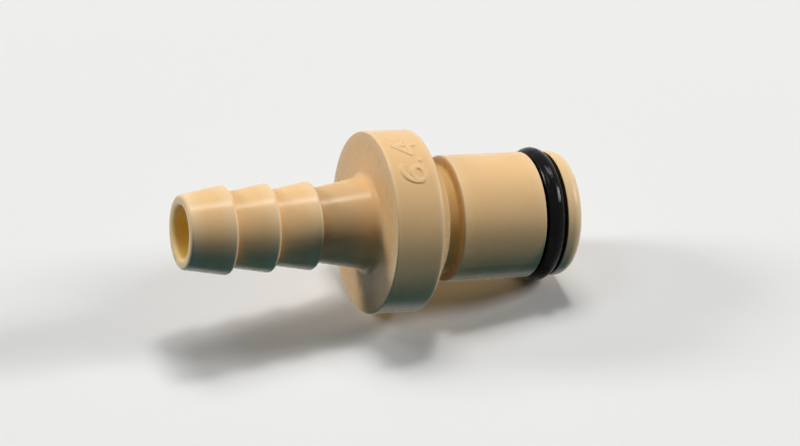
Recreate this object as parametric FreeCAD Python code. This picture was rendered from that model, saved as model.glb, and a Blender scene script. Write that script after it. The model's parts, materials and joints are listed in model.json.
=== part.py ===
import FreeCAD, Part
import math
import os
from dataclasses import dataclass

# A quick-coupling insert with a barbed hose tail, in millimetres.
# It stands on its spigot end: the flow axis is +Z, z = 0 is the spigot's end face, and the barbs point up.

# Hose tail, from its tip down to the flange
BARB_COUNT = 3
BARB_PITCH = 3.72
BARB_RIDGE_RADIUS = 3.79
BARB_VALLEY_RADIUS = 3.12
TIP_RADIUS = 3.11
TIP_LENGTH = 3.95
NECK_LENGTH = 4.94
NECK_TOP_RADIUS = 3.07
NECK_BASE_RADIUS = 3.98

# Flange that the hand turns: a straight rim, and a cone down to the latch groove
FLANGE_RADIUS = 7.77
FLANGE_RIM_LENGTH = 4.12
FLANGE_CONE_RADIUS = 5.2
FLANGE_CONE_LENGTH = 1.63

# Spigot that enters the coupling, with its latch groove and its seal groove
LATCH_GROOVE_WIDTH = 1.16
LATCH_GROOVE_RADIUS = 4.5
SPIGOT_RADIUS = 5.43
SPIGOT_LAND_LENGTH = 7.68
SEAL_GROOVE_WIDTH = 2.0
SEAL_GROOVE_DEPTH = 1.43
NOSE_LENGTH = 1.55

# Flow bores, one moulded from each end
HOSE_BORE_RADIUS = 2.2
SPIGOT_BORE_RADIUS = 3.1
SPIGOT_BORE_DEPTH = 14.6
BORE_TAPER_LENGTH = 1.2

# Rounded nose that leads the spigot into its socket
NOSE_ROUNDING = 0.9

# Bevels of the other edges, measured back along both sides of each corner
TIP_BEVEL = 0.18
RIDGE_BEVEL = 0.08
NECK_FLARE = 0.4
FLANGE_HOSE_BEVEL = 0.1
FLANGE_CONE_BEVEL = 0.08
LATCH_GROOVE_BEVEL = 0.15
SPIGOT_LAND_BEVEL = 0.2
SEAL_GROOVE_BEVEL = 0.1
HOSE_BORE_BEVEL = 0.15
SPIGOT_BORE_BEVEL = 0.2

# Seal ring, a standard round section stretched over its groove's floor
RING_SECTION = 1.78
RING_FLOOR_CLEARANCE = 0.01

# Heights that follow from the lengths above
SEAL_GROOVE_Z = NOSE_LENGTH
SPIGOT_LAND_Z = SEAL_GROOVE_Z + SEAL_GROOVE_WIDTH
LATCH_GROOVE_Z = SPIGOT_LAND_Z + SPIGOT_LAND_LENGTH
FLANGE_CONE_Z = LATCH_GROOVE_Z + LATCH_GROOVE_WIDTH
FLANGE_RIM_Z = FLANGE_CONE_Z + FLANGE_CONE_LENGTH
NECK_Z = FLANGE_RIM_Z + FLANGE_RIM_LENGTH
BARBS_Z = NECK_Z + NECK_LENGTH
TIP_Z = BARBS_Z + (BARB_COUNT - 1) * BARB_PITCH + TIP_LENGTH
SEAL_GROOVE_RADIUS = SPIGOT_RADIUS - SEAL_GROOVE_DEPTH


@dataclass(frozen=True)
class Corner:
    """One corner of the half section: its distance from the axis, its height, and its rounding or bevel."""

    radius: float
    height: float
    rounding: float = 0.0
    bevel: float = 0.0

    def point(self):
        return FreeCAD.Vector(self.radius, 0, self.height)


def corner_ends(before, corner, after):
    """Return the points where the corner's rounding or bevel leaves its two sides."""
    apex = corner.point()
    back = (before.point() - apex).normalize()
    ahead = (after.point() - apex).normalize()
    half_angle = back.getAngle(ahead) / 2
    reach = corner.bevel + corner.rounding / math.tan(half_angle)
    return apex + back * reach, apex + ahead * reach


def corner_edge(corner, first, last):
    """Return the arc or the bevel line between the two ends of a corner."""
    if corner.rounding == 0:
        return Part.LineSegment(first, last).toShape()
    apex = corner.point()
    chord_middle = (first + last) / 2
    inward = chord_middle - apex
    half_chord = (last - first).Length / 2
    sagitta = corner.rounding - math.sqrt(corner.rounding**2 - half_chord**2)
    middle = chord_middle - inward.normalize() * sagitta
    return Part.Arc(first, middle, last).toShape()


def section_face(corners):
    """Return the face of a closed half section whose corners carry their own roundings and bevels."""
    edges = []
    ends = []
    for index, corner in enumerate(corners):
        before = corners[index - 1]
        after = corners[(index + 1) % len(corners)]
        first, last = corner_ends(before, corner, after)
        ends.append((first, last))
        if first != last:
            edges.append(corner_edge(corner, first, last))
    for index, (_, start) in enumerate(ends):
        end, _ = ends[(index + 1) % len(ends)]
        edges.append(Part.LineSegment(start, end).toShape())
    return Part.Face(Part.Wire(Part.sortEdges(edges)[0]))


def turned(face):
    """Return the solid that a half section sweeps round the flow axis."""
    return face.revolve(FreeCAD.Vector(0, 0, 0), FreeCAD.Vector(0, 0, 1), 360)


def spigot_corners():
    """Outside of the spigot, from its nose up through both grooves."""
    groove = SEAL_GROOVE_RADIUS
    return [
        Corner(SPIGOT_RADIUS, 0, rounding=NOSE_ROUNDING),
        Corner(SPIGOT_RADIUS, SEAL_GROOVE_Z, bevel=SEAL_GROOVE_BEVEL),
        Corner(groove, SEAL_GROOVE_Z),
        Corner(groove, SPIGOT_LAND_Z),
        Corner(SPIGOT_RADIUS, SPIGOT_LAND_Z, bevel=SEAL_GROOVE_BEVEL),
        Corner(SPIGOT_RADIUS, LATCH_GROOVE_Z, bevel=SPIGOT_LAND_BEVEL),
        Corner(LATCH_GROOVE_RADIUS, LATCH_GROOVE_Z, bevel=LATCH_GROOVE_BEVEL),
        Corner(LATCH_GROOVE_RADIUS, FLANGE_CONE_Z, bevel=LATCH_GROOVE_BEVEL),
    ]


def flange_corners():
    """Outside of the flange's cone and rim, and the neck that flares into it."""
    return [
        Corner(FLANGE_CONE_RADIUS, FLANGE_CONE_Z, bevel=FLANGE_CONE_BEVEL),
        Corner(FLANGE_RADIUS, FLANGE_RIM_Z),
        Corner(FLANGE_RADIUS, NECK_Z, bevel=FLANGE_HOSE_BEVEL),
        Corner(NECK_BASE_RADIUS, NECK_Z, bevel=NECK_FLARE),
        Corner(NECK_TOP_RADIUS, BARBS_Z),
    ]


def barb_corners():
    """Outside of the barbs: a ridge with a square back, then a cone up to the next valley or the tip."""
    corners = []
    for index in range(BARB_COUNT):
        back = BARBS_Z + index * BARB_PITCH
        if index > 0:
            corners.append(Corner(BARB_VALLEY_RADIUS, back))
        corners.append(Corner(BARB_RIDGE_RADIUS, back, bevel=RIDGE_BEVEL))
    corners.append(Corner(TIP_RADIUS, TIP_Z, bevel=TIP_BEVEL))
    return corners


def bore_corners():
    """Flow bore, from the tip down to the spigot's mouth."""
    return [
        Corner(HOSE_BORE_RADIUS, TIP_Z, bevel=HOSE_BORE_BEVEL),
        Corner(HOSE_BORE_RADIUS, SPIGOT_BORE_DEPTH + BORE_TAPER_LENGTH),
        Corner(SPIGOT_BORE_RADIUS, SPIGOT_BORE_DEPTH),
        Corner(SPIGOT_BORE_RADIUS, 0, bevel=SPIGOT_BORE_BEVEL),
    ]


def insert_body():
    """Barbed tail, flange and spigot, moulded as one piece round the bore."""
    corners = spigot_corners() + flange_corners() + barb_corners() + bore_corners()
    return turned(section_face(corners))


def o_ring():
    """Round seal ring on the floor of its groove, midway between the groove's walls."""
    half = RING_SECTION / 2
    centre_radius = SEAL_GROOVE_RADIUS + RING_FLOOR_CLEARANCE + half
    centre_z = SEAL_GROOVE_Z + SEAL_GROOVE_WIDTH / 2
    centre = FreeCAD.Vector(0, 0, centre_z)
    return Part.makeTorus(centre_radius, half, centre, FreeCAD.Vector(0, 0, 1))


os.makedirs("parts", exist_ok=True)
insert_body().exportStep("parts/insert_body.step")
o_ring().exportStep("parts/o_ring.step")
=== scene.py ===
"""Dresses a barbed quick-coupling insert: its moulded body with a raised size mark, and its seal ring.

The body's form is one half section turned about the flow axis, which is +Z. Sizes are in millimetres and
become metres where a mesh is made. The insert stands on its spigot's end face, and the main view is rolled
so that it shows lying on its flange and seal ring.
"""

import json
import logging
import math
from dataclasses import dataclass, field
from enum import Enum

import bpy
import numpy as np
from mathutils import Matrix, Vector

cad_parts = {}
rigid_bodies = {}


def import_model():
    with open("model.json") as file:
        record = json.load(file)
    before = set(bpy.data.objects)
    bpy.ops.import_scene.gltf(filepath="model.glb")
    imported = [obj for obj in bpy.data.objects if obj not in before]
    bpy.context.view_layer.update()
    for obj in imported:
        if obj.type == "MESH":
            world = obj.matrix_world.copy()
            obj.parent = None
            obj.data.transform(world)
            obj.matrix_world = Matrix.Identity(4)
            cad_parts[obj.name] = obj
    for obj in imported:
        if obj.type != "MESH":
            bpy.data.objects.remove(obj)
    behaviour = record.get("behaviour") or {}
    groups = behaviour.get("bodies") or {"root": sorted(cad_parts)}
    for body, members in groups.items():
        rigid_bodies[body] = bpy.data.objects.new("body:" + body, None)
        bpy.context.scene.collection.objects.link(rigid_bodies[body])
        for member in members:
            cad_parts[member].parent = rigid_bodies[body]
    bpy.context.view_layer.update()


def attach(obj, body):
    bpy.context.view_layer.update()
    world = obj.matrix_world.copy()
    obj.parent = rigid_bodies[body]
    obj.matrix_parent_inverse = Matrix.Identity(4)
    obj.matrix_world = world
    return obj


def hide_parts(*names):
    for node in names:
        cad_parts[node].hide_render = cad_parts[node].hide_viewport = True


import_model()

LOG = logging.getLogger("insert")
METRES = 0.001

Colour = tuple[float, float, float, float]
Triple = tuple[float, float, float]
Socket = bpy.types.NodeSocket


# Mesh making


def put_in_scene(name: str, data: bpy.types.ID) -> bpy.types.Object:
    """Put an object into the scene.

    Args:
        name: the object's name.
        data: the mesh, camera or lamp that it holds.

    Returns:
        The new object, at the origin and unscaled.
    """
    thing = bpy.data.objects.new(name, data)
    bpy.context.scene.collection.objects.link(thing)
    return thing


def add_mesh(name: str, points: np.ndarray, quads: np.ndarray) -> bpy.types.Object:
    """Put a smooth mesh into the scene.

    Args:
        name: the piece's name.
        points: vertex places in millimetres, shape (n, 3).
        quads: vertex numbers of the four-sided faces, shape (m, 4).

    Returns:
        The new object, at the origin and unscaled.
    """
    count, sides = quads.shape
    corners = quads.ravel().astype(np.int32)
    totals = np.full(count, sides, dtype=np.int32)
    starts = np.arange(count, dtype=np.int32) * sides
    mesh = bpy.data.meshes.new(name)
    mesh.vertices.add(len(points))
    mesh.vertices.foreach_set("co", (points * METRES).astype(np.float32).ravel())
    mesh.loops.add(len(corners))
    mesh.loops.foreach_set("vertex_index", corners)
    mesh.polygons.add(count)
    mesh.polygons.foreach_set("loop_start", starts)
    mesh.polygons.foreach_set("loop_total", totals)
    mesh.polygons.foreach_set("use_smooth", np.ones(count, dtype=bool))
    mesh.update(calc_edges=True)
    mesh.validate()
    return put_in_scene(name, mesh)


def turned_points(radius: np.ndarray, height: np.ndarray, polar: np.ndarray) -> np.ndarray:
    """Turn a section about the flow axis.

    A point at radius r and height z becomes (r cos a, r sin a, z) at each polar angle a.

    Args:
        radius: the radii, shape (rows, columns).
        height: the rows' heights.
        polar: the columns' polar angles.

    Returns:
        The points row by row, shape (rows * columns, 3).
    """
    upward = np.broadcast_to(height[:, None], radius.shape)
    points = np.stack([radius * np.cos(polar), radius * np.sin(polar), upward], axis=-1)
    return points.reshape(-1, 3)


def closed_grid_quads(rows: int, columns: int) -> np.ndarray:
    """Number the faces of a grid that closes on itself both ways.

    They face outward on a turned solid whose rows run up its outside.

    Args:
        rows: how many rings of points there are.
        columns: how many points each ring has.

    Returns:
        Each face's vertex numbers in the order here, right, ahead right, ahead, shape (rows * columns, 4).
    """
    row = np.arange(rows)[:, None]
    column = np.arange(columns)[None, :]
    here = row * columns + column
    right = row * columns + (column + 1) % columns
    ahead = ((row + 1) % rows) * columns + column
    ahead_right = ((row + 1) % rows) * columns + (column + 1) % columns
    return np.stack([here, right, ahead_right, ahead], axis=-1).reshape(-1, 4)


def set_mask(piece: bpy.types.Object, name: str, values: np.ndarray) -> None:
    """Store a value from 0 to 1 at each vertex, for a material to read by name."""
    layer = piece.data.attributes.new(name, "FLOAT", "POINT")
    layer.data.foreach_set("value", values.astype(np.float32).ravel())


# Half sections


@dataclass(frozen=True)
class Corner:
    """A corner of a half section.

    It gives its distance from the axis and its height, the radius of its rounding, how deep in a cavity it
    lies from 0 to 1, and how far apart the samples stand on the side that follows it.
    """

    radius: float
    height: float
    rounding: float = 0.0
    cavity: float = 0.0
    step: float = 0.9


@dataclass
class Section:
    """A sampled closed half section.

    Each corner is an arc that meets both sides smoothly, and the sides between arcs are straight. The support
    is how close to its ends a side has a sample, the fade is how far a corner's mask reaches, and a bend
    weaker than straight counts as none.
    """

    corners: list[Corner]
    arc_steps: int = 6
    support: float = 0.03
    fade: float = 0.2
    straight: float = 0.02
    radius: np.ndarray = field(init=False)
    height: np.ndarray = field(init=False)
    edge: np.ndarray = field(init=False)
    hollow: np.ndarray = field(init=False)
    cavity: np.ndarray = field(init=False)

    def __post_init__(self) -> None:
        """Sample the outline, with masks for convex corners, hollow corners and cavities."""
        places = np.array([(c.radius, c.height) for c in self.corners])
        roundings = np.array([c.rounding for c in self.corners])
        back = self._unit(np.roll(places, 1, axis=0) - places)
        ahead = self._unit(np.roll(places, -1, axis=0) - places)
        half_angle = np.arccos(np.clip((back * ahead).sum(1), -1, 1)) / 2
        reach = roundings / np.tan(half_angle)
        first = places + back * reach[:, None]
        last = places + ahead * reach[:, None]
        turn = back[:, 0] * ahead[:, 1] - back[:, 1] * ahead[:, 0]
        stretches, bends, cavities = [], [], []
        for index, corner in enumerate(self.corners):
            following = (index + 1) % len(self.corners)
            legs = back[index], ahead[index]
            arc = self._arc(places[index], *legs, half_angle[index], corner.rounding)
            side, share = self._side(last[index], first[following], corner.step)
            stretches.append(np.concatenate([arc, side]))
            bends.append(np.concatenate([np.full(len(arc), turn[index]), np.zeros(len(side))]))
            cavities.append(np.full(len(arc), corner.cavity))
            cavities.append(corner.cavity + (self.corners[following].cavity - corner.cavity) * share)
        outline = np.concatenate(stretches)
        self.radius, self.height = outline[:, 0], outline[:, 1]
        bend = np.concatenate(bends)
        self.edge = self._nearness(outline, bend < -self.straight)
        self.hollow = self._nearness(outline, bend > self.straight)
        self.cavity = np.concatenate(cavities)

    def _nearness(self, outline: np.ndarray, chosen: np.ndarray) -> np.ndarray:
        """Work out how near each sample is to a chosen one.

        It is 1 at the chosen samples, and falls off as a bell curve of the distance along the outline.

        Args:
            outline: the samples.
            chosen: which of them are chosen.

        Returns:
            The nearness from 0 to 1.
        """
        legs = np.linalg.norm(np.roll(outline, -1, axis=0) - outline, axis=1)
        along = np.cumsum(legs) - legs
        gap = np.abs(along[:, None] - along[chosen][None, :])
        nearest = np.minimum(gap, legs.sum() - gap).min(axis=1)
        return np.exp(-((nearest / self.fade) ** 2))

    @staticmethod
    def _unit(rows: np.ndarray) -> np.ndarray:
        """Return each row at length one."""
        return rows / np.linalg.norm(rows, axis=1, keepdims=True)

    def _arc(
        self, place: np.ndarray, back: np.ndarray, ahead: np.ndarray, half: float, rounding: float
    ) -> np.ndarray:
        """Sample a corner's arc.

        The centre lies on the bisector at rounding / sin(half angle), and the arc turns from the foot of the
        side behind to the foot of the side ahead.

        Args:
            place: the corner.
            back: the direction of the side behind.
            ahead: the direction of the side ahead.
            half: half the angle between the two sides.
            rounding: the arc's radius.

        Returns:
            The arc's samples, or the corner alone where it has no rounding.
        """
        if rounding == 0:
            return place[None]
        bisector = (back + ahead) / np.linalg.norm(back + ahead)
        centre = place + bisector * rounding / math.sin(half)
        sweep = math.pi / 2 - half
        across = ahead - back
        across = across / np.linalg.norm(across)
        turn = np.linspace(-sweep, sweep, self.arc_steps + 1)[:, None]
        return centre + rounding * (-bisector * np.cos(turn) + across * np.sin(turn))

    def _side(self, start: np.ndarray, end: np.ndarray, step: float) -> tuple[np.ndarray, np.ndarray]:
        """Sample the inside of a straight side, with a point close to each end to keep the shading flat.

        Args:
            start: where the side begins.
            end: where it ends.
            step: how far apart the samples stand at most.

        Returns:
            The samples, and each one's share of the way along.
        """
        length = float(np.linalg.norm(end - start))
        if length < 3 * self.support:
            return np.zeros((0, 2)), np.zeros(0)
        count = max(2, math.ceil(length / step))
        inner = np.linspace(self.support, length - self.support, count)
        share = inner / length
        return start + (end - start) * share[:, None], share


# Shader building


@dataclass(frozen=True)
class Optics:
    """How far a surface bends light, and how strongly it mirrors it."""

    refraction: float
    mirror_level: float


class Shader:
    """A small builder for one node tree."""

    def __init__(self, tree: bpy.types.NodeTree) -> None:
        """Start on an empty tree."""
        self.tree = tree
        tree.nodes.clear()

    def add(self, kind: str, **settings: object) -> bpy.types.Node:
        """Add a node.

        Args:
            kind: the node's type name.
            settings: properties of the node, such as its operation.

        Returns:
            The new node.
        """
        node = self.tree.nodes.new(kind)
        for name, value in settings.items():
            setattr(node, name, value)
        return node

    def feed(self, socket: Socket, source: object) -> None:
        """Give a socket its source.

        Args:
            socket: the input.
            source: another node's output, which is linked to it, or a plain value.
        """
        if isinstance(source, Socket):
            self.tree.links.new(source, socket)
        else:
            socket.default_value = source

    def math(self, operation: str, first: object, second: object = 0.0, third: object = 0.0) -> Socket:
        """Add a math node.

        Args:
            operation: what it works out.
            first: its first value or output.
            second: its second.
            third: its third, if the operation has one.

        Returns:
            The node's output.
        """
        node = self.add("ShaderNodeMath", operation=operation)
        for socket, source in zip(node.inputs, (first, second, third)):
            self.feed(socket, source)
        return node.outputs[0]

    def remap(self, value: object, low: object, high: object, new_low: float, new_high: float) -> Socket:
        """Carry a value smoothly from one range to another, and hold it at its ends.

        Args:
            value: the value or output.
            low: where its range begins.
            high: where its range ends.
            new_low: where the new range begins.
            new_high: where the new range ends.

        Returns:
            The new value's output.
        """
        node = self.add("ShaderNodeMapRange", interpolation_type="SMOOTHSTEP")
        for socket, source in zip(node.inputs, (value, low, high, new_low, new_high)):
            self.feed(socket, source)
        return node.outputs[0]

    def mix(self, factor: object, first: object, second: object) -> Socket:
        """Mix two colours.

        Args:
            factor: how much of the second shows.
            first: a colour or output.
            second: the other one.

        Returns:
            The mixed colour's output.
        """
        node = self.add("ShaderNodeMix", data_type="RGBA")
        colours = [socket for socket in node.inputs if socket.type == "RGBA"]
        for socket, source in zip([node.inputs["Factor"], *colours], (factor, first, second)):
            self.feed(socket, source)
        return next(socket for socket in node.outputs if socket.type == "RGBA")

    def tinted(self, colour: object, *layers: tuple[object, float, Colour]) -> Socket:
        """Mix further colours over a colour, one after another.

        Args:
            colour: the first colour or output.
            layers: for each further one its mask, its share of the mask and its colour.

        Returns:
            The last colour's output.
        """
        for mask, share, layer in layers:
            colour = self.mix(self.math("MULTIPLY", mask, share), colour, layer)
        return colour

    def weighted(self, first: tuple[object, float], *others: tuple[object, float]) -> Socket:
        """Sum values, each times its weight.

        Args:
            first: a value or output, and its weight.
            others: the others in the same way.

        Returns:
            The sum's output.
        """
        total = self.math("MULTIPLY", *first)
        for value, weight in others:
            total = self.math("MULTIPLY_ADD", value, weight, total)
        return total

    def noise(self, vector: object, scale: object, detail: float = 2.0, roughness: float = 0.5) -> Socket:
        """Add a noise, whose value stays around one half.

        Args:
            vector: its coordinates.
            scale: its features per metre.
            detail: how many finer layers it has.
            roughness: how strong the finer layers are.

        Returns:
            The noise's output.
        """
        node = self.add("ShaderNodeTexNoise")
        self.feed(node.inputs["Vector"], vector)
        self.feed(node.inputs["Scale"], scale)
        self.feed(node.inputs["Detail"], detail)
        self.feed(node.inputs["Roughness"], roughness)
        return node.outputs[0]

    def stretched(self, vector: object, turn: Triple, scale: Triple) -> Socket:
        """Change coordinates so that a pattern in them is drawn out and turned.

        Args:
            vector: the coordinates.
            turn: how far the pattern turns about each axis, in radians.
            scale: how far it is drawn out along each axis.

        Returns:
            The new coordinates' output.
        """
        node = self.add("ShaderNodeMapping", vector_type="TEXTURE")
        self.feed(node.inputs["Vector"], vector)
        self.feed(node.inputs["Rotation"], turn)
        self.feed(node.inputs["Scale"], scale)
        return node.outputs[0]

    def mask(self, name: str) -> Socket:
        """Return a value stored on the mesh's vertices."""
        return self.add("ShaderNodeAttribute", attribute_name=name).outputs["Fac"]

    def relief(self, height: object, strength: float) -> Socket:
        """Make a normal that follows a height.

        Args:
            height: the height in metres.
            strength: how strongly the normal follows it.

        Returns:
            The normal's output.
        """
        bump = self.add("ShaderNodeBump")
        self.feed(bump.inputs["Height"], height)
        bump.inputs["Strength"].default_value = strength
        bump.inputs["Distance"].default_value = 1.0
        return bump.outputs["Normal"]

    def principled(self, colour: object, rough: object, normal: object, optics: Optics) -> bpy.types.Node:
        """Add the main shader of a piece.

        Args:
            colour: the base colour.
            rough: the roughness.
            normal: the normal with the fine relief.
            optics: how the surface bends and mirrors light.

        Returns:
            The shader's node.
        """
        surface = self.add("ShaderNodeBsdfPrincipled")
        self.feed(surface.inputs["Base Color"], colour)
        self.feed(surface.inputs["Roughness"], rough)
        self.feed(surface.inputs["Normal"], normal)
        surface.inputs["IOR"].default_value = optics.refraction
        surface.inputs["Specular IOR Level"].default_value = optics.mirror_level
        return surface

    def mix_shaders(self, factor: object, first: bpy.types.Node, second: bpy.types.Node) -> bpy.types.Node:
        """Mix two shaders.

        Args:
            factor: how much of the second shows.
            first: a shader's node.
            second: the other one.

        Returns:
            The mix's node.
        """
        sides = self.add("ShaderNodeMixShader")
        for socket, source in zip(sides.inputs, (factor, first.outputs[0], second.outputs[0])):
            self.feed(socket, source)
        return sides

    def finish(self, surface: bpy.types.Node, ending: str = "ShaderNodeOutputMaterial") -> None:
        """Link a shader's first output to the tree's ending."""
        self.feed(self.add(ending).inputs["Surface"], surface.outputs[0])

    def background_seen(self) -> Socket:
        """Tell what the camera sees from the light that falls on the object.

        Returns:
            An output that is 1 for camera, glossy and transmitted rays, and 0 for others.
        """
        path = self.add("ShaderNodeLightPath")
        bent = self.math("MAXIMUM", path.outputs["Is Glossy Ray"], path.outputs["Is Transmission Ray"])
        return self.math("MAXIMUM", path.outputs["Is Camera Ray"], bent)


def new_material(name: str) -> tuple[bpy.types.Material, Shader]:
    """Make a material.

    Args:
        name: its name.

    Returns:
        The material, and the builder of its empty node tree.
    """
    material = bpy.data.materials.new(name)
    material.use_nodes = True
    return material, Shader(material.node_tree)


def new_group(
    name: str, inputs: dict[str, float | None], outputs: tuple[str, ...]
) -> tuple[Shader, dict[str, Socket], dict[str, Socket]]:
    """Make an empty shader group.

    Args:
        name: the group's name.
        inputs: input names with their usual values; None marks a vector.
        outputs: names of the values that the group puts out.

    Returns:
        The builder, the group's inner input sockets and its inner output sockets, by name.
    """
    tree = bpy.data.node_groups.new(name, "ShaderNodeTree")
    for label, usual in inputs.items():
        kind = "NodeSocketVector" if usual is None else "NodeSocketFloat"
        socket = tree.interface.new_socket(label, in_out="INPUT", socket_type=kind)
        if usual is not None:
            socket.default_value = usual
    for label in outputs:
        tree.interface.new_socket(label, in_out="OUTPUT", socket_type="NodeSocketFloat")
    shader = Shader(tree)
    entry = shader.add("NodeGroupInput")
    way_out = shader.add("NodeGroupOutput")
    given = {socket.name: socket for socket in entry.outputs if socket.name}
    result = {socket.name: socket for socket in way_out.inputs if socket.name}
    return shader, given, result


class Effects:
    """The finishes' surface effects, each one a shader group."""

    def __init__(self) -> None:
        """Build each group once."""
        self.grain = self._grain()
        self.drift = self._drift()
        self.scuffs = self._scuffs()
        self.specks = self._specks()
        self.rings = self._rings()

    @staticmethod
    def place(shader: Shader, group: bpy.types.NodeTree, **values: object) -> Socket:
        """Put a group into a material.

        Args:
            shader: the material's builder.
            group: the shader group.
            values: the group's inputs by name.

        Returns:
            The group's output.
        """
        node = shader.add("ShaderNodeGroup", node_tree=group)
        for name, value in values.items():
            shader.feed(node.inputs[name], value)
        return node.outputs[0]

    @staticmethod
    def _grain() -> bpy.types.NodeTree:
        """Build the height of a moulded skin: two noises, the finer one weaker.

        Returns:
            The group.
        """
        finer, share = 3.7, 0.35
        shader, given, result = new_group("moulded_grain", {"Vector": None, "Scale": 9000.0}, ("Height",))
        coarse = shader.noise(given["Vector"], given["Scale"], detail=3.0, roughness=0.55)
        fine = shader.noise(given["Vector"], shader.math("MULTIPLY", given["Scale"], finer))
        shader.feed(result["Height"], shader.math("MULTIPLY_ADD", fine, share, coarse))
        return shader.tree

    @staticmethod
    def _drift() -> bpy.types.NodeTree:
        """Build a slow change across a surface: broad noise pulled out to its full range.

        Returns:
            The group.
        """
        lowest, highest = 0.3, 0.7
        shader, given, result = new_group("slow_drift", {"Vector": None, "Scale": 220.0}, ("Amount",))
        broad = shader.noise(given["Vector"], given["Scale"], detail=3.0, roughness=0.6)
        shader.feed(result["Amount"], shader.remap(broad, lowest, highest, 0.0, 1.0))
        return shader.tree

    @staticmethod
    def _scuffs() -> bpy.types.NodeTree:
        """Build fine handling lines: thin bands of long-drawn noise in two directions, kept to patches.

        Returns:
            The group.
        """
        length, middle, patch_scale, patch_full = 14.0, 0.5, 0.35, 0.75
        turns = ((0.4, 0.9, 0.2), (1.1, -0.5, 0.7))
        inputs = {"Vector": None, "Scale": 900.0, "Width": 0.02, "Patches": 0.5}
        shader, given, result = new_group("fine_scuffs", inputs, ("Amount",))
        lines = []
        for turn in turns:
            drawn = shader.stretched(given["Vector"], turn, (1.0, length, 1.0))
            value = shader.noise(drawn, given["Scale"], detail=1.0)
            away = shader.math("ABSOLUTE", shader.math("SUBTRACT", value, middle))
            thin = shader.math("DIVIDE", away, given["Width"])
            lines.append(shader.math("SUBTRACT", 1.0, shader.math("MINIMUM", thin, 1.0)))
        both = shader.math("MAXIMUM", *lines)
        patch = shader.noise(given["Vector"], shader.math("MULTIPLY", given["Scale"], patch_scale))
        kept = shader.remap(patch, given["Patches"], patch_full, 0.0, 1.0)
        shader.feed(result["Amount"], shader.math("MULTIPLY", both, kept))
        return shader.tree

    @staticmethod
    def _specks() -> bpy.types.NodeTree:
        """Build sparse small specks: round spots in a few cells of a cell pattern, each of its own size.

        Returns:
            The group.
        """
        smallest = 0.4
        inputs = {"Vector": None, "Scale": 1400.0, "Radius": 0.12, "Share": 0.1}
        shader, given, result = new_group("small_specks", inputs, ("Amount",))
        cells = shader.add("ShaderNodeTexVoronoi")
        shader.feed(cells.inputs["Vector"], given["Vector"])
        shader.feed(cells.inputs["Scale"], given["Scale"])
        tone = shader.add("ShaderNodeSeparateColor")
        shader.feed(tone.inputs[0], cells.outputs["Color"])
        chosen = shader.math("LESS_THAN", tone.outputs[0], given["Share"])
        reach = shader.math("MULTIPLY", given["Radius"], shader.math("ADD", tone.outputs[1], smallest))
        near = shader.math("SUBTRACT", 1.0, shader.math("DIVIDE", cells.outputs["Distance"], reach))
        shader.feed(result["Amount"], shader.math("MULTIPLY", chosen, shader.math("MAXIMUM", near, 0.0)))
        return shader.tree

    @staticmethod
    def _rings() -> bpy.types.NodeTree:
        """Build the height of fine tooling lines: noise of the distance from the axis and the height alone.

        Returns:
            The group.
        """
        shader, given, result = new_group("turned_rings", {"Vector": None, "Scale": 9000.0}, ("Height",))
        parts = shader.add("ShaderNodeSeparateXYZ")
        shader.feed(parts.inputs[0], given["Vector"])
        across = shader.math("MULTIPLY", parts.outputs[0], parts.outputs[0])
        squared = shader.math("MULTIPLY_ADD", parts.outputs[1], parts.outputs[1], across)
        flat = shader.add("ShaderNodeCombineXYZ")
        shader.feed(flat.inputs[0], shader.math("SQRT", squared))
        shader.feed(flat.inputs[1], parts.outputs[2])
        lines = shader.noise(flat.outputs[0], given["Scale"], roughness=0.6)
        shader.feed(result["Height"], lines)
        return shader.tree


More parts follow.
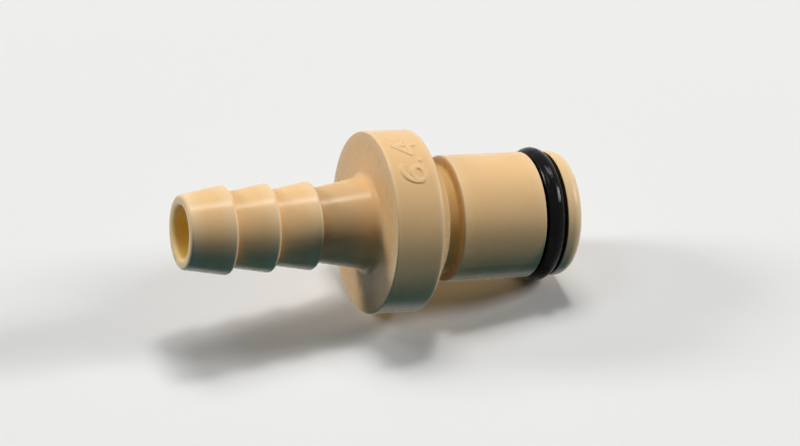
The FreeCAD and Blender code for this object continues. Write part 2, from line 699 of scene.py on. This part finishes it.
@dataclass(frozen=True)
class CreamPlastic:
    """The body's moulded plastic: cream, faintly translucent, with a soft gloss.

    Colours are linear. The deep tone shows in slow drifts and, as painted shade, in hollow corners. The pale
    one shows on scuffs, and on convex edges as wear with a painted highlight. The amber one is a painted cast
    of light in the bore and the latch groove, from light that passes through the wall and bounces there. A
    painted amber glow lights the bore, and painted shade darkens the grooves. A scale is features per metre,
    and a relief is in metres.
    """

    tone: Colour = (0.85, 0.56, 0.28, 1.0)
    deep: Colour = (0.78, 0.48, 0.21, 1.0)
    pale: Colour = (0.92, 0.72, 0.46, 1.0)
    # painted amber cast of light in the bore and the latch groove, and the painted glow's colour
    amber: Colour = (0.90, 0.62, 0.14, 1.0)
    speck: Colour = (0.22, 0.13, 0.06, 1.0)
    # painted shade for the grooves
    groove_shade: Colour = (0.03, 0.02, 0.014, 1.0)
    unlit: Colour = (0.0, 0.0, 0.0, 1.0)
    # painted shade in hollow corners
    hollow_shade_tone: float = 0.35
    drift_tone: float = 0.32
    flow_tone: float = 0.12
    # pale edges: part wear, part painted highlight
    edge_wear_and_highlight_tone: float = 0.5
    scuff_tone: float = 0.12
    speck_tone: float = 0.6
    groove_shade_tone: float = 0.85
    gloss_low: float = 0.20
    gloss_high: float = 0.28
    scuff_roughness: float = 0.1
    flow_roughness: float = 0.03
    drift_scale: float = 190.0
    flow_scale: float = 900.0
    flow_stretch: Triple = (1.0, 1.0, 5.0)
    scuff_scale: float = 620.0
    scuff_width: float = 0.018
    scuff_patches: float = 0.48
    speck_scale: float = 620.0
    speck_radius: float = 0.09
    speck_share: float = 0.035
    grain_scale: float = 11000.0
    ring_scale: float = 5200.0
    grain_relief: float = 2.2e-6
    scuff_relief: float = -0.5e-6
    ring_relief: float = 4.0e-6
    flow_relief: float = 0.6e-6
    relief_strength: float = 0.6
    optics: Optics = Optics(refraction=1.42, mirror_level=0.17)
    # strength of the painted amber glow in the bore
    painted_bore_glow: float = 0.15
    glow: float = 0.08
    glow_depth: float = 0.0003
    glow_reach: Triple = (1.0, 0.85, 0.35)

    def material(self, effects: Effects) -> bpy.types.Material:
        """Build the material.

        Args:
            effects: the shared shader groups.

        Returns:
            The material.
        """
        material, shader = new_material("cream_plastic")
        place = shader.add("ShaderNodeTexCoord").outputs["Object"]
        drawn = shader.stretched(place, (0, 0, 0), self.flow_stretch)
        drift = effects.place(shader, effects.drift, Vector=place, Scale=self.drift_scale)
        flow = effects.place(shader, effects.drift, Vector=drawn, Scale=self.flow_scale)
        wear = {"Scale": self.scuff_scale, "Width": self.scuff_width, "Patches": self.scuff_patches}
        scuffs = effects.place(shader, effects.scuffs, Vector=place, **wear)
        dots = {"Scale": self.speck_scale, "Radius": self.speck_radius, "Share": self.speck_share}
        specks = effects.place(shader, effects.specks, Vector=place, **dots)
        grain = effects.place(shader, effects.grain, Vector=place, Scale=self.grain_scale)
        rings = effects.place(shader, effects.rings, Vector=place, Scale=self.ring_scale)
        edge, hollow, cavity = (shader.mask(name) for name in ("edge", "hollow", "cavity"))
        groove_shade, painted_glow = (shader.mask(name) for name in ("groove_shade", "painted_glow"))
        # deeper tone from slow drifts and flow lines, and painted shade in hollow corners
        deepness = shader.weighted(
            (drift, self.drift_tone), (hollow, self.hollow_shade_tone), (flow, self.flow_tone)
        )
        colour = shader.tinted(
            self.tone,
            (deepness, 1.0, self.deep),
            # pale convex edges: part wear, part painted highlight
            (edge, self.edge_wear_and_highlight_tone, self.pale),
            (scuffs, self.scuff_tone, self.pale),
            (specks, self.speck_tone, self.speck),
            # painted amber cast of light in the bore and the latch groove
            (cavity, 1.0, self.amber),
            # painted shade in the seal groove and by the latch groove's wall
            (groove_shade, self.groove_shade_tone, self.groove_shade),
        )
        gloss = shader.remap(drift, 0.0, 1.0, self.gloss_low, self.gloss_high)
        rough = shader.weighted((gloss, 1.0), (scuffs, self.scuff_roughness), (flow, self.flow_roughness))
        skin = shader.weighted(
            (scuffs, self.scuff_relief),
            (grain, self.grain_relief),
            (rings, self.ring_relief),
            (flow, self.flow_relief),
        )
        normal = shader.relief(skin, self.relief_strength)
        surface = shader.principled(colour, rough, normal, self.optics)
        # painted glow: an amber emission in the bore stands in for light coming through the wall
        lit = shader.tinted(self.unlit, (painted_glow, self.painted_bore_glow, self.amber))
        shader.feed(surface.inputs["Emission Color"], lit)
        surface.inputs["Emission Strength"].default_value = 1.0
        surface.inputs["Subsurface Weight"].default_value = self.glow
        surface.inputs["Subsurface Radius"].default_value = self.glow_reach
        surface.inputs["Subsurface Scale"].default_value = self.glow_depth
        shader.finish(surface)
        return material


@dataclass(frozen=True)
class SealRubber:
    """The seal ring's black rubber, with a thin film of grease and some lint.

    Colours are linear. A scale is features per metre, and a relief is in metres.
    """

    tone: Colour = (0.003, 0.003, 0.0036, 1.0)
    bloom: Colour = (0.007, 0.007, 0.0075, 1.0)
    lint: Colour = (0.28, 0.27, 0.25, 1.0)
    film_tone: float = 0.5
    lint_tone: float = 0.55
    greased: float = 0.07
    dry: float = 0.2
    scuff_roughness: float = 0.2
    film_scale: float = 700.0
    scuff_scale: float = 1100.0
    scuff_width: float = 0.03
    scuff_patches: float = 0.45
    lint_scale: float = 1900.0
    lint_radius: float = 0.16
    lint_share: float = 0.05
    grain_scale: float = 7000.0
    grain_relief: float = 6.0e-6
    film_relief: float = 20.0e-6
    lint_relief: float = 10.0e-6
    relief_strength: float = 0.8
    optics: Optics = Optics(refraction=1.38, mirror_level=0.14)

    def material(self, effects: Effects) -> bpy.types.Material:
        """Build the material.

        Args:
            effects: the shared shader groups.

        Returns:
            The material.
        """
        material, shader = new_material("seal_rubber")
        place = shader.add("ShaderNodeTexCoord").outputs["Object"]
        film = effects.place(shader, effects.drift, Vector=place, Scale=self.film_scale)
        wear = {"Scale": self.scuff_scale, "Width": self.scuff_width, "Patches": self.scuff_patches}
        scuffs = effects.place(shader, effects.scuffs, Vector=place, **wear)
        dots = {"Scale": self.lint_scale, "Radius": self.lint_radius, "Share": self.lint_share}
        lint = effects.place(shader, effects.specks, Vector=place, **dots)
        grain = effects.place(shader, effects.grain, Vector=place, Scale=self.grain_scale)
        bloomed, linted = (film, self.film_tone, self.bloom), (lint, self.lint_tone, self.lint)
        colour = shader.tinted(self.tone, bloomed, linted)
        gloss = shader.remap(film, 0.0, 1.0, self.greased, self.dry)
        rough = shader.weighted((gloss, 1.0), (scuffs, self.scuff_roughness))
        skin = shader.weighted((film, self.film_relief), (grain, self.grain_relief), (lint, self.lint_relief))
        normal = shader.relief(skin, self.relief_strength)
        shader.finish(shader.principled(colour, rough, normal, self.optics))
        return material


# The pieces


@dataclass(frozen=True)
class InsertBody:
    """The moulded body: barbed tail, neck, flange, latch groove, spigot, seal groove and bore.

    Sizes are in millimetres and repeat the source's, but the roundings, fillets and seams are the skin's own.
    Tones, shares, wear and glow run from 0 to 1, for the masks that the finish reads. The finish paints
    shade in hollows and grooves, a highlight with the wear on edges, an amber cast of light in the bore and a
    glow there.
    """

    barb_count: int = 3
    barb_pitch: float = 3.72
    ridge_radius: float = 3.79
    valley_radius: float = 3.12
    tip_radius: float = 3.11
    tip_length: float = 3.95
    neck_length: float = 4.94
    neck_top_radius: float = 3.07
    neck_base_radius: float = 3.98
    flange_radius: float = 7.77
    flange_rim_length: float = 4.12
    flange_cone_radius: float = 5.2
    flange_cone_length: float = 1.63
    latch_groove_width: float = 1.16
    latch_groove_radius: float = 4.5
    spigot_radius: float = 5.43
    spigot_land_length: float = 7.68
    seal_groove_width: float = 2.0
    seal_groove_depth: float = 1.43
    nose_length: float = 1.55
    hose_bore_radius: float = 2.2
    spigot_bore_radius: float = 3.1
    spigot_bore_depth: float = 14.6
    bore_taper_length: float = 1.2
    tip_rounding: float = 0.28
    ridge_rounding: float = 0.23
    valley_fillet: float = 0.12
    neck_fillet: float = 0.6
    flange_hose_rounding: float = 0.12
    flange_rim_rounding: float = 0.35
    flange_cone_rounding: float = 0.12
    latch_fillet: float = 0.25
    land_rounding: float = 0.22
    groove_rounding: float = 0.08
    nose_rounding: float = 0.9
    bore_rounding: float = 0.36
    mouth_rounding: float = 0.3
    lit_depth: float = 0.6
    # how much painted amber cast of light the bore's lip and the latch groove get
    lip_depth_tone: float = 0.35
    groove_depth_tone: float = 0.35
    groove_shade_share: float = 0.35
    groove_shade_reach: float = 0.28
    # share of the edges' wear and painted highlight on the flange and spigot
    rim_wear_and_highlight: float = 0.6
    lip_glow_reach: float = 0.45
    bore_glow: float = 0.2
    mark_step: float = 0.047
    turns: int = 176
    seam_polar: float = math.radians(28.0)
    seam_height: float = 0.014
    seam_width: float = 0.05
    seam_clear: float = math.radians(2.0)
    beside_seam: tuple[float, ...] = (-1.6, -1.0, -0.7, -0.45, -0.22, 0.0, 0.22, 0.45, 0.7, 1.0, 1.6)
    bore_margin: float = 0.05
    slack: float = 0.001

    @property
    def seal_groove_radius(self) -> float:
        """Radius of the seal groove's floor."""
        return self.spigot_radius - self.seal_groove_depth

    @property
    def seal_middle(self) -> float:
        """Height of the seal groove's middle."""
        return self.nose_length + self.seal_groove_width / 2

    @property
    def cone_base(self) -> float:
        """Height of the flange's cone at the latch groove."""
        return self.nose_length + self.seal_groove_width + self.spigot_land_length + self.latch_groove_width

    @property
    def rim_base(self) -> float:
        """Height where the flange's cone meets its rim."""
        return self.cone_base + self.flange_cone_length

    @property
    def flange_top(self) -> float:
        """Height of the flange's face under the neck."""
        return self.rim_base + self.flange_rim_length

    @property
    def tip_height(self) -> float:
        """Height of the barbed tip."""
        barbs = (self.barb_count - 1) * self.barb_pitch
        return self.flange_top + self.neck_length + barbs + self.tip_length

    def spigot(self) -> list[Corner]:
        """Lay out the spigot's outside.

        Returns:
            Its corners, from the nose to the latch groove.
        """
        land = self.nose_length + self.seal_groove_width
        latch = land + self.spigot_land_length
        floor, lip = self.seal_groove_radius, self.groove_rounding
        # the latch groove's cavity tone paints an amber cast of light there
        latch_floor, fillet, tone = self.latch_groove_radius, self.latch_fillet, self.groove_depth_tone
        return [
            Corner(self.spigot_radius, 0, self.nose_rounding),
            Corner(self.spigot_radius, self.nose_length, lip),
            Corner(floor, self.nose_length, lip),
            Corner(floor, land, lip),
            Corner(self.spigot_radius, land, lip),
            Corner(self.spigot_radius, latch, self.land_rounding),
            Corner(latch_floor, latch, fillet, cavity=tone),
            Corner(latch_floor, self.cone_base, fillet, cavity=tone),
        ]

    def flange_and_neck(self) -> list[Corner]:
        """Lay out the flange's rim and the neck that flares into it.

        Returns:
            Their corners.
        """
        return [
            Corner(self.flange_cone_radius, self.cone_base, self.flange_cone_rounding),
            Corner(self.flange_radius, self.rim_base, self.flange_rim_rounding, step=self.mark_step),
            Corner(self.flange_radius, self.flange_top, self.flange_hose_rounding),
            Corner(self.neck_base_radius, self.flange_top, self.neck_fillet),
            Corner(self.neck_top_radius, self.flange_top + self.neck_length, self.valley_fillet),
        ]

    def barbs(self) -> list[Corner]:
        """Lay out the barbs, each a ridge with a square back, and the tip.

        Returns:
            Their corners.
        """
        corners = []
        for index in range(self.barb_count):
            back = self.flange_top + self.neck_length + index * self.barb_pitch
            if index > 0:
                corners.append(Corner(self.valley_radius, back, self.valley_fillet))
            corners.append(Corner(self.ridge_radius, back, self.ridge_rounding))
        corners.append(Corner(self.tip_radius, self.tip_height, self.tip_rounding))
        return corners

    def bore(self) -> list[Corner]:
        """Lay out the bore.

        Returns:
            Its corners, from the tip down to the spigot's mouth.
        """
        # the cavity values paint an amber cast of light inside the bore
        taper = self.spigot_bore_depth
        return [
            Corner(self.hose_bore_radius, self.tip_height, self.bore_rounding, cavity=self.lip_depth_tone),
            Corner(self.hose_bore_radius, self.tip_height - self.lit_depth, cavity=1.0),
            Corner(self.hose_bore_radius, taper + self.bore_taper_length, self.mouth_rounding, cavity=1.0),
            Corner(self.spigot_bore_radius, taper, self.mouth_rounding, cavity=1.0),
            Corner(self.spigot_bore_radius, self.lit_depth, cavity=1.0),
            Corner(self.spigot_bore_radius, 0, self.mouth_rounding),
        ]

    def angles(self, mark: "SizeMark") -> np.ndarray:
        """Place the columns.

        They are evenly spaced, but stand closer beside each seam, at the given degrees from it, and across
        the mark.

        Args:
            mark: the figures on the flange's rim.

        Returns:
            The columns' polar angles in order.
        """
        even = np.linspace(0, 2 * math.pi, self.turns, endpoint=False)
        beside = np.radians(np.array(self.beside_seam))
        seams = np.array([self.seam_polar, self.seam_polar + math.pi])
        extra = (seams[:, None] + beside[None, :]).ravel()
        first, last = mark.span(self.flange_radius)
        across_mark = (last - first) * self.flange_radius
        dense = np.linspace(first, last, math.ceil(across_mark / self.mark_step))
        clear = np.abs(np.sin(even[:, None] - seams[None, :])).min(1) > math.sin(self.seam_clear)
        gap = math.pi / self.turns
        away = ((even - first + gap) % (2 * math.pi)) > (last - first + 2 * gap)
        return np.sort(np.concatenate([even[clear & away], extra, dense]) % (2 * math.pi))

    def seam_relief(self, radius: np.ndarray, polar: np.ndarray, outside: np.ndarray) -> np.ndarray:
        """Return the parting line's height, a bell curve of the distance across it, on outside rows only."""
        across = radius[:, None] * np.sin(polar[None, :] - self.seam_polar)
        return self.seam_height * np.exp(-((across / self.seam_width) ** 2)) * outside[:, None]

    def groove_shade(self, section: Section) -> np.ndarray:
        """Work out the painted shade that darkens the grooves.

        The seal groove, between the body and the ring, is shaded all over. The latch groove's share is a bell
        curve of the distance from its spigot-side wall. Nothing outside the grooves is shaded.

        Args:
            section: the body's half section.

        Returns:
            The painted shade at each sample, from 0 to 1.
        """
        margin = self.groove_rounding / 4
        sunk = section.radius < self.spigot_radius - margin
        greased = np.abs(section.height - self.seal_middle) < self.seal_groove_width / 2 + margin
        wall = self.cone_base - self.latch_groove_width
        shade_by_wall = self.groove_shade_share * np.exp(-(((section.height - wall) / self.groove_shade_reach) ** 2))
        return sunk * np.where(greased, 1.0, shade_by_wall)

    def painted_bore_glow(self, section: Section) -> np.ndarray:
        """Work out the painted glow that stands in for light coming through the wall.

        It is a little all along the bore, and more by the tip. The tip's share is a bell curve of the depth
        below the tip, and grows round the lip from its face to its bore.

        Args:
            section: the body's half section.

        Returns:
            The painted glow at each sample, from 0 to 1.
        """
        depth = self.tip_height - section.height
        lip = (self.hose_bore_radius + self.bore_rounding - section.radius) / self.bore_rounding
        by_tip = np.clip(lip, 0, 1) * np.exp(-((depth / self.lip_glow_reach) ** 2))
        return self.bore_glow * section.cavity**2 + (1 - self.bore_glow) * by_tip

    def build(self, mark: "SizeMark", finish: bpy.types.Material) -> bpy.types.Object:
        """Turn the half section about the flow axis.

        The parting line and the raised mark add to its radius. The masks tell where it is worn with a painted
        highlight, where painted shade falls in hollows and grooves, where an amber cast of light is painted
        and where a painted glow lights the bore.

        Args:
            mark: the figures on the flange's rim.
            finish: the body's material.

        Returns:
            The body.
        """
        section = Section(self.spigot() + self.flange_and_neck() + self.barbs() + self.bore())
        polar = self.angles(mark)
        rim = section.radius > self.flange_radius - self.slack
        outside = (section.radius > self.spigot_bore_radius + self.bore_margin) & ~rim
        rim_middle = (self.rim_base + self.flange_top) / 2
        raised = mark.relief(polar, section.height, self.flange_radius, rim_middle) * rim[:, None]
        seam = self.seam_relief(section.radius, polar, outside.astype(float))
        radius = section.radius[:, None] + seam + raised
        rows, columns = radius.shape
        points = turned_points(radius, section.height, polar)
        piece = add_mesh("moulded_body", points, closed_grid_quads(rows, columns))
        # Convex edges turn pale, partly as wear and partly as a painted highlight, in full on the barbs and
        # the nose.
        above = section.height > self.flange_top + self.neck_fillet
        below = section.height < self.nose_length / 2
        worn_and_highlit = section.edge * np.where(above | below, 1.0, self.rim_wear_and_highlight)
        set_mask(piece, "edge", np.maximum(worn_and_highlit[:, None], raised / mark.proud * mark.paleness))
        masks = {
            "hollow": section.hollow,
            "cavity": section.cavity,
            # painted shade in the grooves
            "groove_shade": self.groove_shade(section),
            # painted glow in the bore
            "painted_glow": self.painted_bore_glow(section),
        }
        for name, values in masks.items():
            set_mask(piece, name, np.repeat(values, columns))
        piece.data.materials.append(finish)
        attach(piece, "root")
        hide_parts("insert_body")
        LOG.info("body: %d rows by %d columns", rows, columns)
        return piece


@dataclass(frozen=True)
class SizeMark:
    """Raised figures on the flange's rim that give the hose bore, 6.4.

    They are a low relief of the rim's own surface, so each stroke swells out of it with soft shoulders.
    """

    digit_height: float = 2.1
    digit_spread: float = 1.3
    stroke_width: float = 0.38
    shoulder: float = 0.16
    proud: float = 0.1
    paleness: float = 0.3
    middle_polar: float = math.radians(-60.5)
    path_steps: int = 40

    def paths(self) -> list[np.ndarray]:
        """Draw the figures.

        The six is a bowl, a full turn of an ellipse, and a stem, part of a larger ellipse. The four is a
        diagonal, a bar and an upright. The point is a very short path. All are centred on the mark's middle.

        Returns:
            Each stroke's path in millimetres, with x along the rim and y along the flow axis.
        """
        turn = np.linspace(0, 2 * math.pi, self.path_steps)
        lean = np.linspace(math.radians(180), math.radians(68), self.path_steps)
        strokes = [
            np.stack([0.31 + 0.25 * np.cos(turn), 0.29 + 0.25 * np.sin(turn)], axis=-1),
            np.stack([0.46 + 0.40 * np.cos(lean), 0.34 + 0.60 * np.sin(lean)], axis=-1),
            np.array([(0.83, 0.06), (0.835, 0.06)]),
            np.array([(1.48, 0.93), (1.09, 0.32)]),
            np.array([(1.09, 0.32), (1.72, 0.32)]),
            np.array([(1.52, 0.93), (1.52, 0.05)]),
        ]
        everything = np.concatenate(strokes)
        middle = (everything.min(axis=0) + everything.max(axis=0)) / 2
        scale = np.array([self.digit_height * self.digit_spread, self.digit_height])
        return [(stroke - middle) * scale for stroke in strokes]

    def span(self, rim: float) -> tuple[float, float]:
        """Find where the figures stand.

        Args:
            rim: the rim's radius.

        Returns:
            The polar angles where they begin and end.
        """
        across = np.concatenate(self.paths())[:, 0]
        half = (across.max() - across.min()) / 2 + self.stroke_width / 2 + self.shoulder
        return self.middle_polar - half / rim, self.middle_polar + half / rim

    def relief(self, polar: np.ndarray, height: np.ndarray, rim: float, middle: float) -> np.ndarray:
        """Work out how far the figures stand out.

        It is the strokes' full height wherever the nearest path is closer than half a stroke, and falls to
        nothing along a smooth step as wide as the shoulder.

        Args:
            polar: the columns' polar angles.
            height: the rows' heights.
            rim: the rim's radius.
            middle: the height of the figures' middle.

        Returns:
            The relief in millimetres, shape (rows, columns).
        """
        turned = (polar - self.middle_polar + math.pi) % (2 * math.pi) - math.pi
        reach = self.digit_height
        column = np.flatnonzero(np.abs(turned) * rim < 2 * reach)
        row = np.flatnonzero(np.abs(height - middle) < reach)
        place = np.stack(np.meshgrid(turned[column] * rim, height[row] - middle), axis=-1)
        nearest = np.full(place.shape[:2], np.inf)
        for path in self.paths():
            start, leg = path[:-1], np.diff(path, axis=0)
            offset = place[..., None, :] - start
            share = np.clip((offset * leg).sum(-1) / (leg**2).sum(-1), 0, 1)
            gap = np.linalg.norm(offset - share[..., None] * leg, axis=-1).min(-1)
            nearest = np.minimum(nearest, gap)
        fall = np.clip((self.stroke_width / 2 + self.shoulder / 2 - nearest) / self.shoulder, 0, 1)
        result = np.zeros((len(height), len(polar)))
        result[np.ix_(row, column)] = self.proud * fall**2 * (3 - 2 * fall)
        return result


@dataclass(frozen=True)
class SealRing:
    """The seal ring: a round section with a fine parting line, stretched over its groove's floor.

    The crowding says how far the section's samples gather at the parting line and opposite it.
    """

    section: float = 1.78
    floor_clearance: float = 0.01
    line_height: float = 0.018
    line_width: float = 0.05
    crowding: float = 0.375
    turns: int = 320
    section_steps: int = 72

    def build(self, body: InsertBody, finish: bpy.types.Material) -> bpy.types.Object:
        """Turn the ring's section about the flow axis.

        The section's radius is its half width, plus a bell-shaped parting line at its outermost point.

        Args:
            body: the body whose groove holds the ring.
            finish: the ring's material.

        Returns:
            The ring.
        """
        half = self.section / 2
        turn = np.linspace(0, 2 * math.pi, self.section_steps, endpoint=False)
        turn = turn - self.crowding * np.sin(2 * turn)
        line = self.line_height * np.exp(-((half * np.sin(turn) / self.line_width) ** 2))
        line = np.where(np.cos(turn) > 0, line, 0.0)
        centre = body.seal_groove_radius + self.floor_clearance + half
        radius = centre + (half + line) * np.cos(turn)
        height = body.seal_middle + half * np.sin(turn)
        polar = np.linspace(0, 2 * math.pi, self.turns, endpoint=False)
        points = turned_points(np.tile(radius[:, None], self.turns), height, polar)
        piece = add_mesh("seal_ring", points, closed_grid_quads(self.section_steps, self.turns))
        piece.data.materials.append(finish)
        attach(piece, "root")
        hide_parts("o_ring")
        LOG.info("seal ring: %.2f mm section", self.section)
        return piece


# The view, the bed and the lamps


@dataclass(frozen=True)
class MainView:
    """The camera: where it aims and how far off it stands, in millimetres, and its turns, in degrees.

    The focal length and the image width are in pixels, and the nearest and farthest depths in metres.
    """

    aim: Triple = (-0.07, 0.61, 14.63)
    distance: float = 238.0
    azimuth: float = -11.32
    elevation: float = 21.77
    roll: float = -93.07
    focal_pixels: float = 2785.9
    image_width: float = 800.0
    sensor_width: float = 36.0
    nearest: float = 0.01
    farthest: float = 20.0

    def axes(self) -> Matrix:
        """Work out the camera's directions.

        Without roll, back points at the azimuth and elevation and right is level. Roll turns the other two
        about back.

        Returns:
            Right, up and back as columns.
        """
        turns = (self.azimuth, self.elevation, self.roll)
        azimuth, elevation, roll = (math.radians(turn) for turn in turns)
        level = math.cos(elevation)
        back = Vector((math.sin(azimuth) * level, -math.cos(azimuth) * level, math.sin(elevation)))
        flat_right = Vector((math.cos(azimuth), math.sin(azimuth), 0.0))
        flat_up = back.cross(flat_right)
        right = flat_right * math.cos(roll) + flat_up * math.sin(roll)
        up = back.cross(right)
        return Matrix((right, up, back)).transposed()

    def build(self) -> bpy.types.Object:
        """Make the camera and look through it.

        Returns:
            The camera.
        """
        data = bpy.data.cameras.new("main_view")
        data.sensor_width = self.sensor_width
        data.lens = self.focal_pixels / self.image_width * self.sensor_width
        data.clip_start = self.nearest
        data.clip_end = self.farthest
        camera = put_in_scene("main_view", data)
        axes = self.axes()
        place = (Vector(self.aim) + axes.col[2] * self.distance) * METRES
        camera.matrix_world = Matrix.Translation(place) @ axes.to_4x4()
        bpy.context.scene.camera = camera
        return camera


class Lamp(Enum):
    """The studio's soft lamps.

    Each gives its direction in the view's axes, its distance, width and height in metres, and its power in
    watts. The rear lamps shine through the floor's clear back, so that the other views have light too.
    """

    KEY = ((0.13, 0.94, 0.32), 1.00, (0.15, 0.13), 2.6)
    TOP = ((-0.04, 0.97, 0.25), 1.00, (0.35, 0.25), 3.0)
    LEFT = ((-0.88, 0.45, 0.16), 1.00, (0.20, 0.32), 4.7)
    RIGHT = ((0.87, 0.45, 0.20), 1.00, (0.15, 0.30), 5.3)
    FRONT = ((-0.45, 0.74, 0.50), 1.00, (0.30, 0.30), 0.9)
    REAR = ((-0.10, -0.35, -0.93), 0.60, (0.40, 0.40), 1.6)
    REAR_RIGHT = ((0.52, -0.20, -0.83), 0.60, (0.30, 0.40), 0.4)

    def build(self, view: MainView) -> bpy.types.Object:
        """Make the lamp, facing the object, with its height along the view's up direction.

        Args:
            view: the main view.

        Returns:
            The lamp.
        """
        direction, distance, size, power = self.value
        data = bpy.data.lights.new(self.name.lower() + "_lamp", "AREA")
        data.shape = "RECTANGLE"
        data.size, data.size_y = size
        data.energy = power
        lamp = put_in_scene(data.name, data)
        axes = view.axes()
        away = (axes @ Vector(direction)).normalized()
        level = axes.col[1].cross(away).normalized()
        turn = Matrix((level, away.cross(level), away)).transposed()
        lamp.matrix_world = Matrix.Translation(Vector(view.aim) * METRES + away * distance) @ turn.to_4x4()
        return lamp


@dataclass(frozen=True)
class Bed:
    """The plain pale floor that the main view shows the insert lying on.

    It touches the flange's rounded edge and the seal ring. Some views look through its back, which is clear.
    The camera sees it pale, and the light that it throws back at the insert is dim and cool.
    """

    polar: float = math.radians(-45.0)
    half_size: float = 900.0
    pale: Colour = (0.77, 0.77, 0.76, 1.0)
    bounce: Colour = (0.015, 0.10, 0.16, 1.0)

    def lean(self, body: InsertBody, ring: SealRing) -> tuple[float, float]:
        """Lay the insert on the bed.

        In the half section the bed is the straight line that touches two circles, the flange's rounded latch
        edge and the seal ring's section.

        Args:
            body: the insert's body.
            ring: its seal ring.

        Returns:
            The bed's tilt from the flow axis, and its distance from the spigot's foot.
        """
        edge = body.flange_rim_rounding
        slope = math.atan2(body.flange_radius - body.flange_cone_radius, body.flange_cone_length)
        flange = np.array([body.flange_radius - edge, body.rim_base + edge * math.tan(slope / 2)])
        half = ring.section / 2
        seal = np.array([body.seal_groove_radius + ring.floor_clearance + half, body.seal_middle])
        gap = flange - seal
        towards = math.atan2(gap[1], gap[0])
        tilt = towards - math.acos((half - edge) / float(np.hypot(*gap)))
        reach = float(seal @ np.array([math.cos(tilt), math.sin(tilt)])) + half
        return tilt, reach

    def finish(self) -> bpy.types.Material:
        """Build the floor's matt finish, which is clear from behind.

        Returns:
            The material.
        """
        material, shader = new_material("pale_bed")
        matt = shader.add("ShaderNodeBsdfDiffuse")
        shader.feed(matt.inputs["Color"], shader.mix(shader.background_seen(), self.bounce, self.pale))
        clear = shader.add("ShaderNodeBsdfTransparent")
        behind = shader.add("ShaderNodeNewGeometry").outputs["Backfacing"]
        shader.finish(shader.mix_shaders(behind, matt, clear))
        return material

    def build(self, body: InsertBody, ring: SealRing) -> bpy.types.Object:
        """Make the floor as one large square, which keeps the object's shadow and casts none.

        Args:
            body: the insert's body.
            ring: its seal ring.

        Returns:
            The floor.
        """
        tilt, reach = self.lean(body, ring)
        side = np.array([math.cos(self.polar), math.sin(self.polar), 0.0])
        upward = side * math.cos(tilt) - np.array([0.0, 0.0, math.sin(tilt)])
        along = np.array([-side[1], side[0], 0.0])
        other = np.cross(upward, along)
        centre = -upward * reach
        signs = np.array([[-1, -1], [1, -1], [1, 1], [-1, 1]]) * self.half_size
        points = centre + signs[:, :1] * along + signs[:, 1:] * other
        floor = add_mesh("bed", points, np.array([[0, 1, 2, 3]]))
        floor.data.materials.append(self.finish())
        floor.visible_shadow = False
        LOG.info("bed: tilted %.2f degrees, %.2f mm off", math.degrees(tilt), reach)
        return floor


@dataclass(frozen=True)
class Surroundings:
    """The studio round the object: an even pale light, with the floor's own tone where the camera sees it."""

    light: Colour = (0.75, 0.90, 1.0, 1.0)
    strength: float = 0.02
    seen: Colour = (0.77, 0.77, 0.76, 1.0)

    def build(self) -> None:
        """Set the world's light and the plain view transform."""
        scene = bpy.context.scene
        scene.view_settings.view_transform = "Standard"
        world = bpy.data.worlds.new("studio")
        world.use_nodes = True
        shader = Shader(world.node_tree)
        around = shader.add("ShaderNodeBackground")
        around.inputs["Color"].default_value = self.light
        around.inputs["Strength"].default_value = self.strength
        behind = shader.add("ShaderNodeBackground")
        behind.inputs["Color"].default_value = self.seen
        sides = shader.mix_shaders(shader.background_seen(), around, behind)
        shader.finish(sides, "ShaderNodeOutputWorld")
        scene.world = world


def main() -> None:
    """Build the view, the studio and each piece in order."""
    logging.basicConfig(level=logging.INFO, format="%(name)s: %(message)s")
    view = MainView()
    view.build()
    Surroundings().build()
    for lamp in Lamp:
        lamp.build(view)
    effects = Effects()
    plastic = CreamPlastic().material(effects)
    rubber = SealRubber().material(effects)
    body, ring = InsertBody(), SealRing()
    body.build(SizeMark(), plastic)
    ring.build(body, rubber)
    Bed().build(body, ring)


if __name__ == "__main__":
    main()
